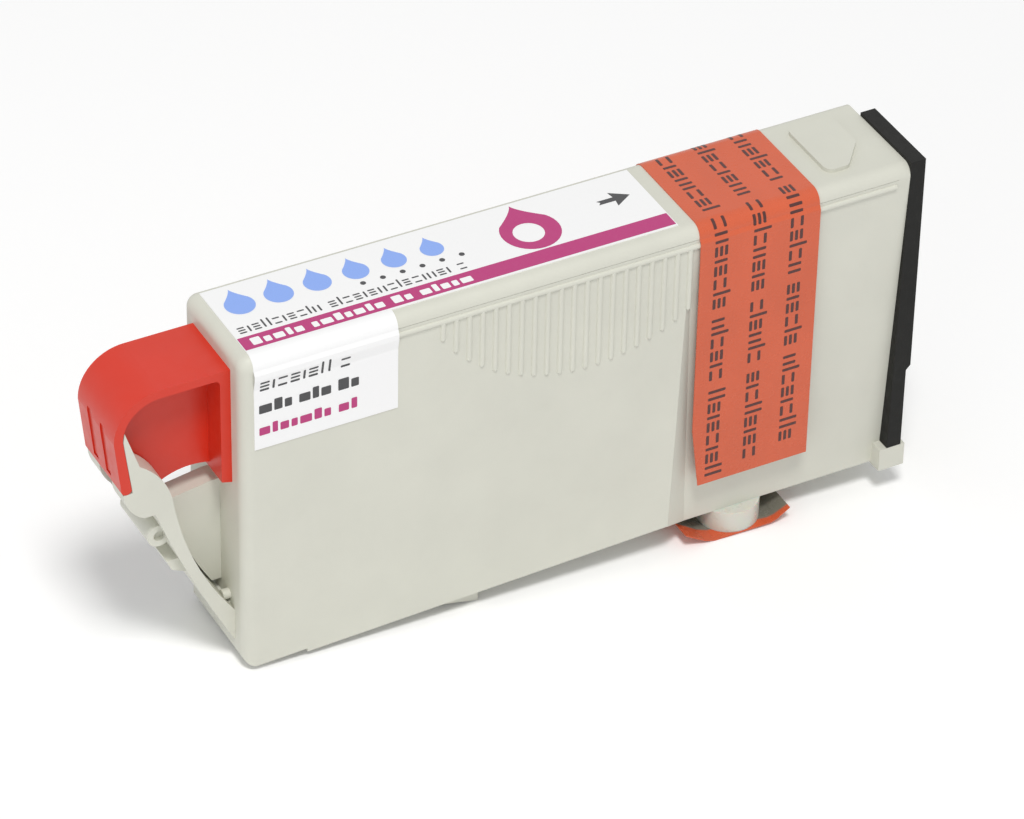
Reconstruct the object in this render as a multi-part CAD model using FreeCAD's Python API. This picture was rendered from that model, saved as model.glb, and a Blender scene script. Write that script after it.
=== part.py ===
import FreeCAD, Part
import math
import os

# Inkjet ink cartridge with one ink tank, millimetres.
# Modelling datum: x from the latch end of the tank towards the rear plate, y from the middle
# plane (near side is -y), z from a level 37 mm under the flat top. Every piece is moved at
# the end so that the origin lies at the bottom centre of the whole cartridge.

V = FreeCAD.Vector

# Tank
tank_len = 74.2
tank_wide = 13.2
tank_high = 37.0
edge_round = 1.3
wall = 1.6
cover_thick = 1.2
seam_gap = 0.05

# How far a cut runs past what it cuts, and how edges that get rounded are told apart
cut_past = 1.0
edge_match = 1e-4
edge_least = 1.0

# Underside: a slightly sloping floor, a raised heel at the latch end, a lower outlet end
floor_latch_z = -1.17
floor_slope_deg = 1.85
heel_len = 6.8
heel_rise = 0.4
outlet_end_len = 26.6
outlet_end_run = 2.9
outlet_end_z = -1.0
draft_depth = 1.6
draft_lean = 1.5
end_lean = 0.5

# Wedge foot under the floor
foot_x = 18.2
foot_len = 8.3
foot_drop = 2.1
foot_inset = 1.2

# Grip ribs, on both sides, between the label's flap and the outlet end; they end on an arc
rib_count = 20
rib_flap_gap = 4.9
rib_last_out = 1.4
rib_radius = 0.3
rib_tip_radius = 0.12
rib_proud = 0.24
grip_drop = 10.65
grip_rise = 8.5525
grip_middle_share = 0.5947
bead_drop = 0.75

# Raised pad on the top
pad_tape_gap = 2.275
pad_long = 5.3
pad_near_in = 2.45
pad_far_in = 2.4
pad_high = 0.45
pad_corner = 1.0
pad_chamfer = 2.8
pad_chamfer_slant = 1.2

# Inside of the tank
partition_gap = 9.6
partition_thick = 1.2
passage_wide = 5.0
passage_high = 4.0
sponge_air = 2.6
sponge_gap = 0.15
press_rib_thick = 1.0
press_rib_count = 3
press_rib_gap = 0.4
lip_high = 0.9
lip_thick = 0.8
lip_gap = 0.1

# Ink outlet
outlet_end_gap = 17.4
outlet_half_x = 3.3
outlet_side_gap = 0.1
outlet_drop = 2.45
collar_wall = 0.9
collar_end_wall = 2.2
collar_lip_high = 0.45
nozzle_wall = 0.65
nozzle_gap = 0.04
seal_high = 0.6
wick_gap = 0.05
wick_recess = 0.2
screen_thick = 0.15

# Vent and filling hole in the top wall
vent_gap = 3.8
vent_hole_radius = 0.6
membrane_radius = 1.8
membrane_thick = 0.2
membrane_seat = 0.5
fill_x = 24.0
fill_radius = 1.5
plug_flange_radius = 2.1
plug_sink = 0.7
plug_past = 0.4

# Latch arm
arm_wide = 8.4
arm_low_z = 0.9
arm_root_z = 5.2
arm_root_out = 0.25
arm_root_drop = 1.0
arm_top_drop = 3.2
arm_mid_level_share = 0.52062
arm_clear = 4.0
arm_mid_share = 0.56
arm_mid_thick = 1.25
arm_top_thick = 2.1
arm_root_round = 0.8
arm_root_pad = 0.5
head_shoulder_in = 2.6
head_shoulder_up = 2.9
head_bulge_in = 0.95
head_bulge_up = 3.6
head_heel_out = 1.1
head_heel_in = 1.75
head_heel_down = 2.5
head_base_drop = 0.275
head_ledge_in = 0.16
tongue_tip_in = 0.16
tongue_tip_rise = 1.0
clip_gap = 0.04
catch_inset = 1.0
loop_out = 0.65
loop_drop = 3.85
loop_radius = 1.25
loop_recess_radius = 0.6
loop_recess_deep = 0.5
tooth_arm_drop = 7.35
tooth_reach = 1.3
tooth_drop = 2.1
tooth_barb_in = 0.5
tooth_barb_drop = 1.2
tooth_top_fall = 0.1
tooth_top_bury = 0.4
tooth_low_bury = 0.3

# Stop rib between the arm and the tank
stop_thick = 2.4
stop_low_z = 7.1
stop_flange_gap = 1.6
stop_fall = 0.8
stop_arm_gap = 0.25
pip_radius = 0.55
pip_len = 0.8
pip_y = -2.9
pip_z = 6.4

# Handle
handle_wide = 8.4
handle_reach = 12.3
handle_drop = 2.2
handle_arc_radius = 4.95
handle_wall = 0.95
handle_tip_drop = 11.3
handle_tip_lean = 0.65
handle_tip_wall = 1.1
flange_thick = 1.1
flange_len = 13.6
flange_low_slant = 0.3
web_thick = 2.4
web_arch_rise = 0.75
web_cusp_x = -6.4
web_cusp_drop = 0.1
web_root_rise = 0.3
web_tip_rise = 3.4
web_tip_arch = 0.5
web_tip_level = 5.0
web_bury = 0.3
web_slot_gap = 0.2
web_slot_drop = 0.4
corner_round = 0.6
corner_bow = 0.3
peg_radius = 1.1
peg_len = 0.9
peg_gap = 0.05
peg_spacing = 7.0
groove_count = 2
groove_wide = 1.1
groove_deep = 0.12
groove_pitch = 2.9
groove_low_rise = 1.0
groove_top_rise = 0.5

# Rear plate with the chip
plate_thick = 1.7
plate_wide = 10.0
plate_low_z = 1.5
plate_proud = 0.4
ledge_drop = 0.25
chip_step = 0.5
chip_step_gap = 1.0
board_wide = 7.5
board_high = 8.6
board_thick = 0.7
board_gap = 0.1
board_low_gap = 0.5
pad_rows = 4
pad_wide = 2.6
pad_tall = 1.45
pad_thick = 0.06
potting_wide = 3.2
potting_thick = 0.5

# Label and pull tape
label_thick = 0.1
label_x = 1.3
label_tape_gap = 1.68
label_near_in = 1.4
label_far_in = 1.2
flap_len = 15.4
flap_down = 10.7
flap_settle = 1.5
tape_thick = 0.12
tape_wide = 13.65
tape_low_z = 4.8
tape_skew = 0.9
tape_skew_high = 8.0
tape_skew_past = 0.1
tape_lap = 1.0
tape_left_rise = 1.8
tape_right_rise = 1.2
tape_right_trim = 1.3
tape_bend_share = 0.2

# Derived places along the tank
outlet_x = tank_len - outlet_end_gap
outlet_end_x = tank_len - outlet_end_len
rib_first_x = label_x + flap_len + rib_flap_gap
rib_run = outlet_end_x + rib_last_out - rib_first_x
grip_arc_half = rib_run * grip_middle_share
grip_arc_radius = (grip_arc_half ** 2 + grip_rise ** 2) / (2 * grip_rise)
grip_arc_x = rib_first_x + grip_arc_half
partition_x = outlet_end_x - partition_gap
vent_x = outlet_x - vent_gap
tape_x = outlet_x - tape_wide / 2
pad_x = tape_x + tape_wide + pad_tape_gap
label_len = tape_x - label_tape_gap - label_x
arm_top_out = handle_reach - arm_clear
arm_mid_out = arm_top_out * arm_mid_share

# Derived places across the tank
near_y = -tank_wide / 2
far_y = tank_wide / 2
outlet_half_y = far_y - outlet_side_gap
pad_near_y = near_y + pad_near_in
pad_far_y = far_y - pad_far_in
label_near_y = near_y + label_near_in
label_far_y = far_y - label_far_in

# Derived levels
handle_top_z = tank_high - handle_drop
handle_arc_z = handle_top_z - handle_arc_radius
handle_tip_z = handle_top_z - handle_tip_drop
flange_low_z = handle_top_z - flange_len
arm_top_z = handle_tip_z - arm_top_drop
arm_mid_z = arm_low_z + (arm_top_z - arm_low_z) * arm_mid_level_share
loop_z = arm_top_z - loop_drop
tooth_z = arm_top_z - tooth_arm_drop
stop_high_z = flange_low_z - stop_flange_gap
flap_low_z = tank_high - flap_down
chip_z = plate_low_z + board_low_gap + board_high / 2
chip_step_z = chip_z + board_high / 2 + chip_step_gap
floor_slope = math.tan(math.radians(floor_slope_deg))
outlet_low_z = outlet_end_z - outlet_drop
nozzle_low_z = outlet_low_z + collar_lip_high + seal_high
lowest_z = outlet_low_z - tape_thick
seam_z = tank_high - edge_round
bead_z = seam_z - bead_drop
rear_x = tank_len + plate_thick
chip_face_x = rear_x - chip_step
origin_x = (rear_x - handle_reach) / 2


def floor_z(x):
    """Level of the sloping floor at a place along the tank."""
    return floor_latch_z + floor_slope * x


def end_x(z):
    """Place of the tank's rear end at a level; it leans in towards its base."""
    return tank_len - end_lean * (tank_high - z) / (tank_high - outlet_end_z)


def block(x0, x1, y0, y1, z0, z1):
    """Rectangular solid between two corners."""
    return Part.makeBox(x1 - x0, y1 - y0, z1 - z0, V(x0, y0, z0))


def side_prism(points, y0, y1):
    """Solid from an outline of (x, z) points, run across the tank."""
    corners = [V(x, y0, z) for x, z in points]
    face = Part.Face(Part.makePolygon(corners + corners[:1]))
    return face.extrude(V(0, y1 - y0, 0))


def plan_prism(points, z0, z1, lean=0.0):
    """Solid from an outline of (x, y) points, run upwards and leaning along the tank."""
    corners = [V(x, y, z0) for x, y in points]
    face = Part.Face(Part.makePolygon(corners + corners[:1]))
    return face.extrude(V(lean, 0, z1 - z0))


def oblong(half_x, half_y, z0, z1):
    """Upright solid with round ends, centred on the outlet."""
    straight = half_y - half_x
    body = block(outlet_x - half_x, outlet_x + half_x, -straight, straight, z0, z1)
    for side in (-1, 1):
        body = body.fuse(Part.makeCylinder(half_x, z1 - z0, V(outlet_x, side * straight, z0)))
    return body.removeSplitter()


def mirrored(shape):
    """The same solid on the other side of the middle plane."""
    return shape.mirror(V(0, 0, 0), V(0, 1, 0))


def draft_wedge():
    """What the draft takes off the near side of the outlet end, from the seam down."""
    low_z = outlet_end_z - cut_past
    depth = draft_depth * (seam_z - low_z) / (seam_z - outlet_end_z)
    outside = near_y - cut_past
    corners = [V(0, outside, seam_z), V(0, near_y, seam_z)]
    corners += [V(0, near_y + depth, low_z), V(0, outside, low_z)]
    wedge = Part.Face(Part.makePolygon(corners + corners[:1])).extrude(V(tank_len + cut_past, 0, 0))
    run = outlet_end_run / draft_depth
    inner_y = near_y + depth + cut_past
    plan = [(outlet_end_x - run, outside), (outlet_end_x + run * (depth + cut_past), inner_y)]
    plan += [(tank_len + cut_past, inner_y), (tank_len + cut_past, outside)]
    return wedge.common(plan_prism(plan, low_z, seam_z, draft_lean))


def draft_cuts(near, far):
    """The draft on both sides, moved inwards by the given insets."""
    near_cut = draft_wedge()
    far_cut = mirrored(near_cut)
    near_cut.translate(V(0, near, 0))
    far_cut.translate(V(0, -far, 0))
    return [near_cut, far_cut]


def tank_outline(ends, top, base):
    """Side outline of the tank without its draft, drawn in by the given insets."""
    step_x = outlet_end_x + ends
    low = outlet_end_z + base
    high = tank_high - top
    outline = [(ends, floor_z(ends) + base), (step_x, floor_z(step_x) + base)]
    outline += [(step_x + outlet_end_run, low), (end_x(low) - ends, low)]
    return outline + [(end_x(high) - ends, high), (ends, high)]


def tank_block(near, far, ends, top, base):
    """The tank's drafted form with square edges, or its hollow when the insets are walls."""
    solid = side_prism(tank_outline(ends, top, base), near_y + near, far_y - far)
    return solid.cut(draft_cuts(near, far))


def is_rounded_edge(edge):
    """Picks the long top edges and the latch end's edges, and leaves the rear end sharp."""
    box = edge.BoundBox
    on_side = abs(abs(box.YMin) - far_y) < edge_match and box.YLength < edge_match
    top_run = on_side and box.ZMin > tank_high - edge_match and box.XLength > edge_least
    end_post = on_side and box.XMax < edge_match and box.ZLength > edge_least
    end_top = box.XMax < edge_match and box.ZMin > tank_high - edge_match
    end_base = box.XMax < edge_match and box.ZMax < heel_rise and box.YLength > edge_least
    return top_run or end_post or end_top or end_base


def tank_form():
    """Outer form of the tank with its raised heel, rounded edges and drafted outlet end."""
    solid = side_prism(tank_outline(0, 0, 0), near_y, far_y)
    under = floor_z(0) - cut_past
    heel = [(-cut_past, under), (heel_len, under)]
    heel += [(heel_len, floor_z(heel_len) + heel_rise), (-cut_past, floor_z(-cut_past) + heel_rise)]
    solid = solid.cut(side_prism(heel, near_y - cut_past, far_y + cut_past))
    edges = [edge for edge in solid.Edges if is_rounded_edge(edge)]
    return solid.makeFillet(edge_round, edges).cut(draft_cuts(0, 0))


def seam_window(gap):
    """The outline inside which the near side is a separate cover, with a groove above it."""
    outline = tank_outline(edge_round, edge_round + gap, edge_round)
    return side_prism(outline, near_y - cut_past, near_y + draft_depth + cover_thick + cut_past)


def near_skin():
    """The outer cover_thick of the near side, following its draft."""
    past = -cut_past
    return tank_block(0, 0, 0, 0, 0).cut(tank_block(cover_thick, past, past, past, past))


def grip_ribs():
    """Half-round upright ribs under the seam, ending on an arc, and the bead above them."""
    axis_y = near_y + rib_radius - rib_proud
    arc_z = bead_z - grip_drop + grip_arc_radius
    parts = []
    for index in range(rib_count):
        x = rib_first_x + rib_run * index / (rib_count - 1)
        low_z = arc_z - math.sqrt(grip_arc_radius ** 2 - (x - grip_arc_x) ** 2)
        parts.append(Part.makeCylinder(rib_radius, bead_z - low_z, V(x, axis_y, low_z)))
        parts.append(Part.makeCone(rib_tip_radius, rib_radius, rib_radius, V(x, axis_y, low_z - rib_radius)))
    bead_x = edge_round + rib_radius
    bead_len = tank_len - 2 * bead_x
    parts.append(Part.makeCylinder(rib_radius, bead_len, V(bead_x, axis_y, bead_z), V(1, 0, 0)))
    return parts[0].multiFuse(parts[1:])


def side_cover():
    """Near side plate with a locating lip behind it and the grip ribs in front."""
    plate = near_skin().common(seam_window(seam_gap))
    outer_inset = wall + lip_gap
    inner_inset = outer_inset + lip_thick
    lip = tank_block(cover_thick, 0, outer_inset, outer_inset, outer_inset)
    lip = lip.cut(tank_block(0, -cut_past, inner_inset, inner_inset, inner_inset))
    lip = lip.cut(tank_block(cover_thick + lip_high, -cut_past, 0, 0, 0))
    slot_x = partition_x - lip_gap
    slot_end = partition_x + partition_thick + lip_gap
    lip = lip.cut(block(slot_x, slot_end, near_y + cover_thick, far_y, outlet_end_z, tank_high))
    port_top = outlet_end_z + inner_inset + cut_past
    lip = lip.cut(block(outlet_x - outlet_half_x, outlet_x + outlet_half_x, near_y, far_y,
                        outlet_end_z, port_top))
    return plate.fuse([lip, grip_ribs()]).removeSplitter()


def arm_point(level, offset):
    """Point of the arm's outer face at a level, moved towards the tank by an offset."""
    if level < arm_mid_z:
        lean = (arm_mid_out - arm_root_out) / (arm_mid_z - arm_low_z)
    else:
        lean = (arm_top_out - arm_mid_out) / (arm_top_z - arm_mid_z)
    reach = arm_mid_out + lean * (level - arm_mid_z)
    return V(-reach + offset, -arm_wide / 2, level)


def arm_inner_edge(gap):
    """Curve of the arm's inner face from its top to its root, moved towards the tank by a gap."""
    root = V(gap, -arm_wide / 2, arm_root_z)
    top = arm_point(arm_top_z, arm_top_thick + gap)
    return Part.Arc(top, arm_point(arm_mid_z, arm_mid_thick + gap), root)


def arm_band():
    """The curved latch arm from its root on the tank to its head."""
    low = V(wall / 2, -arm_wide / 2, arm_low_z - arm_root_drop)
    outer = Part.Arc(low, arm_point(arm_mid_z, 0), arm_point(arm_top_z, 0)).toShape()
    inner = arm_inner_edge(0).toShape()
    over = Part.LineSegment(arm_point(arm_top_z, 0), arm_point(arm_top_z, arm_top_thick)).toShape()
    into = V(wall / 2, -arm_wide / 2, arm_root_z)
    root_top = Part.LineSegment(V(0, -arm_wide / 2, arm_root_z), into).toShape()
    root = Part.LineSegment(into, low).toShape()
    wire = Part.Wire([outer, over, inner, root_top, root])
    return Part.Face(wire).extrude(V(0, arm_wide, 0)).cut(web_slot())


def web_slot():
    """Room for the handle's web between the head's two tongues."""
    half = web_thick / 2 + web_slot_gap
    return block(-handle_reach, 0, -half, half, flange_low_z - web_slot_drop, handle_top_z)


def front_wall_x(z, inside):
    """Place of the handle's front wall, outer or inner face, below its curve."""
    fall = (handle_arc_z - z) / (handle_arc_z - handle_tip_z)
    outer = -handle_reach + handle_tip_lean * fall
    thick = handle_wall + (handle_tip_wall - handle_wall) * fall
    return outer + (thick if inside else 0)


def arm_head():
    """Rounded head with two tongues that stand inside the handle's front wall."""
    y0 = -arm_wide / 2
    ledge_z = handle_tip_z - clip_gap
    tongue_top = V(front_wall_x(handle_arc_z, True) + clip_gap, y0, handle_arc_z)
    tongue_low = V(front_wall_x(ledge_z, True) + clip_gap, y0, ledge_z)
    ledge_out = V(front_wall_x(ledge_z, False) + head_ledge_in, y0, ledge_z)
    heel_mid = V(-handle_reach + head_heel_in, y0, handle_tip_z - head_heel_down)
    heel = V(-arm_top_out - head_heel_out, y0, arm_top_z - head_base_drop)
    base = V(-arm_top_out + arm_top_thick, y0, arm_top_z - head_base_drop)
    shoulder = V(-handle_reach + head_shoulder_in, y0, handle_tip_z + head_shoulder_up)
    bulge = V(-arm_top_out + head_bulge_in, y0, arm_top_z + head_bulge_up)
    edges = [Part.LineSegment(tongue_top, tongue_low).toShape()]
    edges.append(Part.LineSegment(tongue_low, ledge_out).toShape())
    edges.append(Part.Arc(ledge_out, heel_mid, heel).toShape())
    edges.append(Part.LineSegment(heel, base).toShape())
    edges.append(Part.Arc(base, bulge, shoulder).toShape())
    tip = V(tongue_top.x + tongue_tip_in, y0, handle_arc_z + tongue_tip_rise)
    edges.append(Part.LineSegment(shoulder, tip).toShape())
    edges.append(Part.LineSegment(tip, tongue_top).toShape())
    return Part.Face(Part.Wire(edges)).extrude(V(0, arm_wide, 0)).cut(web_slot())


def arm_catches():
    """Rounded roll with dished ends, and barbed tooth, on the arm's outer face."""
    y0 = -arm_wide / 2 + catch_inset
    length = arm_wide - 2 * catch_inset
    loop_x = arm_point(loop_z, 0).x - loop_out
    loop = Part.makeCylinder(loop_radius, length, V(loop_x, y0, loop_z), V(0, 1, 0))
    for y in (y0, y0 + length - loop_recess_deep):
        dish = Part.makeCylinder(loop_recess_radius, loop_recess_deep, V(loop_x, y, loop_z), V(0, 1, 0))
        loop = loop.cut(dish)
    tooth_root = arm_point(tooth_z, 0).x
    tooth_low_z = tooth_z - tooth_drop
    tip_x = tooth_root - tooth_reach
    tooth = [(tooth_root + tooth_top_bury, tooth_z + tooth_top_fall), (tip_x, tooth_z)]
    tooth += [(tip_x + tooth_barb_in, tooth_z - tooth_barb_drop)]
    tooth += [(arm_point(tooth_low_z, 0).x + tooth_low_bury, tooth_low_z)]
    return [loop, side_prism(tooth, y0, y0 + length)]


def stop_rib():
    """Rib on the latch end that stops the arm; its outer edge runs beside the arm's inner face."""
    y0 = -arm_wide / 2
    edge = arm_inner_edge(stop_arm_gap)
    top = edge.StartPoint
    root = edge.EndPoint
    beside = [edge.toShape()] + Part.makePolygon([root, V(wall, y0, root.z), V(wall, y0, top.z), top]).Edges
    room = Part.Face(Part.Wire(beside)).extrude(V(0, arm_wide, 0))
    outline = [(wall / 2, stop_low_z), (-handle_reach, stop_low_z), (-handle_reach, stop_high_z - stop_fall)]
    outline += [(top.x, stop_high_z - stop_fall), (-stop_fall, stop_high_z), (wall / 2, stop_high_z)]
    return side_prism(outline, -stop_thick / 2, stop_thick / 2).common(room)


def arm_root():
    """Small fillet over the arm's root, and the pip beside it on the latch end."""
    half = arm_wide / 2 - catch_inset
    corner = [(wall / 2, arm_root_z - arm_root_pad), (-arm_root_round, arm_root_z - arm_root_pad)]
    corner += [(-arm_root_round, arm_root_z), (wall / 2, arm_root_z + arm_root_round)]
    pip = Part.makeCylinder(pip_radius, pip_len + wall / 2, V(wall / 2, pip_y, pip_z), V(-1, 0, 0))
    return [side_prism(corner, -half, half), pip]


def wedge_foot():
    """Wedge under the floor, flush at its latch end."""
    end_x = foot_x + foot_len
    outline = [(foot_x, floor_z(foot_x)), (end_x, floor_z(end_x) - foot_drop)]
    outline += [(end_x, floor_z(end_x) + wall / 2), (foot_x, floor_z(foot_x) + wall / 2)]
    return side_prism(outline, near_y + foot_inset, far_y - foot_inset)


def top_pad():
    """Raised pad on the top, with one corner cut back."""
    end_x = pad_x + pad_long
    outline = [(pad_x, pad_far_y), (pad_x, pad_near_y), (end_x - pad_chamfer, pad_near_y)]
    outline += [(end_x, pad_near_y + pad_chamfer * pad_chamfer_slant), (end_x, pad_far_y)]
    pad = plan_prism(outline, tank_high - wall / 2, tank_high + pad_high)
    posts = [edge for edge in pad.Edges if edge.BoundBox.ZLength > pad_high]
    return pad.makeFillet(pad_corner, posts)


def inner_walls():
    """Partition with its ink passage, and the ribs that press on the sponge."""
    hollow = tank_block(cover_thick, wall / 2, wall / 2, wall / 2, wall / 2)
    x1 = partition_x + partition_thick
    partition = block(partition_x, x1, near_y, far_y, outlet_end_z, tank_high).common(hollow)
    low = floor_z(partition_x) + wall
    half = passage_wide / 2
    partition = partition.cut(block(partition_x - cut_past, x1 + cut_past, -half, half,
                                    low, low + passage_high))
    span = tank_len - wall - x1
    step = span / (press_rib_count + 1)
    rib_near_y = near_y + cover_thick + lip_high + press_rib_gap
    rib_low = tank_high - wall - sponge_air
    walls = [partition]
    for index in range(press_rib_count):
        x = x1 + step * (index + 1)
        rib = block(x, x + press_rib_thick, rib_near_y, far_y, rib_low, tank_high)
        walls.append(rib.common(hollow))
    return walls


def rear_ledge():
    """Ledge under the rear plate and as wide as it is."""
    inner_x = end_x(outlet_end_z) - wall / 2
    return block(inner_x, rear_x, near_y, near_y + plate_wide, outlet_end_z - ledge_drop,
                 plate_low_z - seam_gap)


def peg_places():
    """Levels of the handle's two pegs on the latch end."""
    middle = (handle_top_z + flange_low_z) / 2
    return [middle - peg_spacing / 2, middle + peg_spacing / 2]


def nozzle(inset, z0, z1):
    """Oblong solid inside the collar's wall, for the nozzle and all that fits in it."""
    half_y = outlet_half_y - collar_end_wall
    return oblong(outlet_half_x - collar_wall - inset, half_y - inset, z0, z1)


def body_shell():
    """Tub with all that is moulded on it, open on the near side."""
    form = tank_form()
    shell = form.cut(tank_block(cover_thick, wall, wall, wall, wall))
    shell = shell.cut(near_skin().common(seam_window(0)))
    parts = inner_walls() + [wedge_foot(), top_pad(), rear_ledge(), stop_rib(), arm_band(), arm_head()]
    parts += arm_catches() + arm_root()
    parts.append(mirrored(grip_ribs()))
    shell = shell.fuse(parts)
    shell = shell.fuse(nozzle(nozzle_gap, nozzle_low_z, outlet_end_z + wall / 2))
    shell = shell.cut(nozzle(nozzle_wall, nozzle_low_z - cut_past, outlet_end_z + wall + cut_past))
    hole_low = tank_high - wall - cut_past
    hole_len = wall + 2 * cut_past
    shell = shell.cut(Part.makeCylinder(vent_hole_radius, hole_len, V(vent_x, 0, hole_low)))
    seat_low = tank_high - 2 * wall + membrane_seat
    shell = shell.cut(Part.makeCylinder(membrane_radius + lip_gap, wall, V(vent_x, 0, seat_low)))
    shell = shell.cut(Part.makeCylinder(fill_radius, hole_len, V(fill_x, 0, hole_low)))
    top_seat = Part.makeCylinder(plug_flange_radius + lip_gap, wall, V(fill_x, 0, tank_high - plug_sink))
    shell = shell.cut(top_seat)
    for level in peg_places():
        hole = Part.makeCylinder(peg_radius + peg_gap, peg_len + lip_gap, V(0, 0, level), V(1, 0, 0))
        shell = shell.cut(hole)
    return shell.removeSplitter()


def handle_outline(y0):
    """Closed side outline of the handle's curved strap, outer face then inner face."""
    arc_x = handle_arc_radius - handle_reach
    half = math.sqrt(0.5) * handle_arc_radius
    top = V(arc_x, y0, handle_top_z)
    curve = V(arc_x - half, y0, handle_arc_z + half)
    front = V(-handle_reach, y0, handle_arc_z)
    tip_out_z = handle_tip_z + handle_tip_wall / 2
    tip_in_z = handle_tip_z + handle_tip_wall / 3
    tip_out = V(front_wall_x(tip_out_z, False), y0, tip_out_z)
    tip_low = V(front_wall_x(handle_tip_z, False) + handle_tip_wall / 3, y0, handle_tip_z)
    tip_in = V(front_wall_x(tip_in_z, True), y0, tip_in_z)
    inner_radius = handle_arc_radius - handle_wall
    inner_half = math.sqrt(0.5) * inner_radius
    front_in = V(front_wall_x(handle_arc_z, True), y0, handle_arc_z)
    curve_in = V(arc_x - inner_half, y0, handle_arc_z + inner_half)
    top_in = V(arc_x, y0, handle_top_z - handle_wall)
    edges = [Part.LineSegment(V(0, y0, handle_top_z), top).toShape()]
    edges.append(Part.Arc(top, curve, front).toShape())
    edges.append(Part.LineSegment(front, tip_out).toShape())
    edges.append(Part.Arc(tip_out, tip_low, tip_in).toShape())
    edges.append(Part.LineSegment(tip_in, front_in).toShape())
    edges.append(Part.Arc(front_in, curve_in, top_in).toShape())
    roof = handle_top_z - handle_wall
    corner_in = V(-flange_thick - corner_round, y0, roof)
    bow = corner_round * corner_bow
    corner_mid = V(-flange_thick - bow, y0, roof - bow)
    corner_out = V(-flange_thick, y0, roof - corner_round)
    edges.append(Part.LineSegment(top_in, corner_in).toShape())
    edges.append(Part.Arc(corner_in, corner_mid, corner_out).toShape())
    low_in = V(-flange_thick, y0, flange_low_z + flange_low_slant)
    edges.append(Part.LineSegment(corner_out, low_in).toShape())
    low_out = V(0, y0, flange_low_z)
    edges.append(Part.LineSegment(low_in, low_out).toShape())
    edges.append(Part.LineSegment(low_out, V(0, y0, handle_top_z)).toShape())
    return Part.Wire(edges)


def handle_web():
    """Web in the middle of the handle, its lower edge in two arches."""
    y0 = -web_thick / 2
    low = flange_low_z + flange_low_slant
    left_x = front_wall_x(flange_low_z + web_tip_level, True) - web_bury
    right = V(-flange_thick / 2, y0, low + web_root_rise)
    cusp = V(web_cusp_x, y0, low - web_cusp_drop)
    left = V(left_x, y0, low + web_tip_rise)
    first = V((right.x + cusp.x) / 2, y0, low + web_arch_rise)
    second = V((cusp.x + left.x) / 2, y0, low + web_tip_rise / 2 + web_tip_arch)
    arc_x = handle_arc_radius - handle_reach
    reach = (handle_arc_radius - handle_wall / 2) * math.sqrt(0.5)
    top_z = handle_top_z - handle_wall / 2
    edges = [Part.Arc(right, first, cusp).toShape(), Part.Arc(cusp, second, left).toShape()]
    front = V(-handle_reach + handle_wall / 2, y0, handle_arc_z)
    edges.append(Part.LineSegment(left, front).toShape())
    middle = V(arc_x - reach, y0, handle_arc_z + reach)
    edges.append(Part.Arc(front, middle, V(arc_x, y0, top_z)).toShape())
    corner = V(-flange_thick / 2, y0, top_z)
    edges.append(Part.LineSegment(V(arc_x, y0, top_z), corner).toShape())
    edges.append(Part.LineSegment(corner, right).toShape())
    return Part.Face(Part.Wire(edges)).extrude(V(0, web_thick, 0))


def handle():
    """Red clip: a curved strap with a flange against the tank, a web and two pegs."""
    strap = Part.Face(handle_outline(-handle_wide / 2)).extrude(V(0, handle_wide, 0))
    solid = strap.fuse(handle_web())
    for level in peg_places():
        solid = solid.fuse(Part.makeCylinder(peg_radius, peg_len + flange_thick / 2,
                                             V(-flange_thick / 2, 0, level), V(1, 0, 0)))
    low = handle_tip_z + groove_low_rise
    top = handle_arc_z + groove_top_rise
    outside = -handle_reach - cut_past
    outline = [(outside, top + cut_past), (outside, low), (front_wall_x(low, False) + groove_deep, low)]
    outline += [(-handle_reach + groove_deep, top)]
    for index in range(groove_count):
        y = groove_pitch * (index - (groove_count - 1) / 2)
        solid = solid.cut(side_prism(outline, y - groove_wide / 2, y + groove_wide / 2))
    return solid.removeSplitter()


def rear_plate():
    """Black plate, set back in its lower part, with a stepped pocket there for the chip board."""
    high = tank_high + plate_proud
    outline = [(end_x(plate_low_z), plate_low_z), (chip_face_x, plate_low_z)]
    outline += [(chip_face_x, chip_step_z - chip_step), (rear_x, chip_step_z), (rear_x, high)]
    outline += [(end_x(high), high)]
    plate = side_prism(outline, near_y, near_y + plate_wide)
    middle = near_y + plate_wide / 2
    half_y = board_wide / 2 + board_gap
    half_z = board_high / 2 + board_gap
    outside = rear_x + cut_past
    pocket = block(chip_face_x - board_thick - pad_thick, outside, middle - half_y, middle + half_y,
                   chip_z - half_z, chip_z + half_z)
    half = potting_wide / 2 + board_gap
    deep = board_thick + pad_thick + potting_thick + board_gap
    well = block(chip_face_x - deep, outside, middle - half, middle + half, chip_z - half, chip_z + half)
    return plate.cut(pocket).cut(well)


def chip_board():
    """Circuit board in the plate's pocket."""
    middle = near_y + plate_wide / 2
    x1 = chip_face_x - pad_thick
    return block(x1 - board_thick, x1, middle - board_wide / 2, middle + board_wide / 2,
                 chip_z - board_high / 2, chip_z + board_high / 2)


def contact_pads():
    """Two columns of contact pads on the board."""
    middle = near_y + plate_wide / 2
    pitch_z = board_high / pad_rows
    pads = []
    for row in range(pad_rows):
        level = chip_z + pitch_z * (row - (pad_rows - 1) / 2)
        for side in (-1, 1):
            y = middle + side * board_wide / 4
            pads.append(block(chip_face_x - pad_thick, chip_face_x, y - pad_wide / 2, y + pad_wide / 2,
                              level - pad_tall / 2, level + pad_tall / 2))
    return Part.makeCompound(pads)


def memory_chip():
    """Potted chip behind the board."""
    middle = near_y + plate_wide / 2
    x1 = chip_face_x - pad_thick - board_thick
    half = potting_wide / 2
    return block(x1 - potting_thick, x1, middle - half, middle + half, chip_z - half, chip_z + half)


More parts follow.
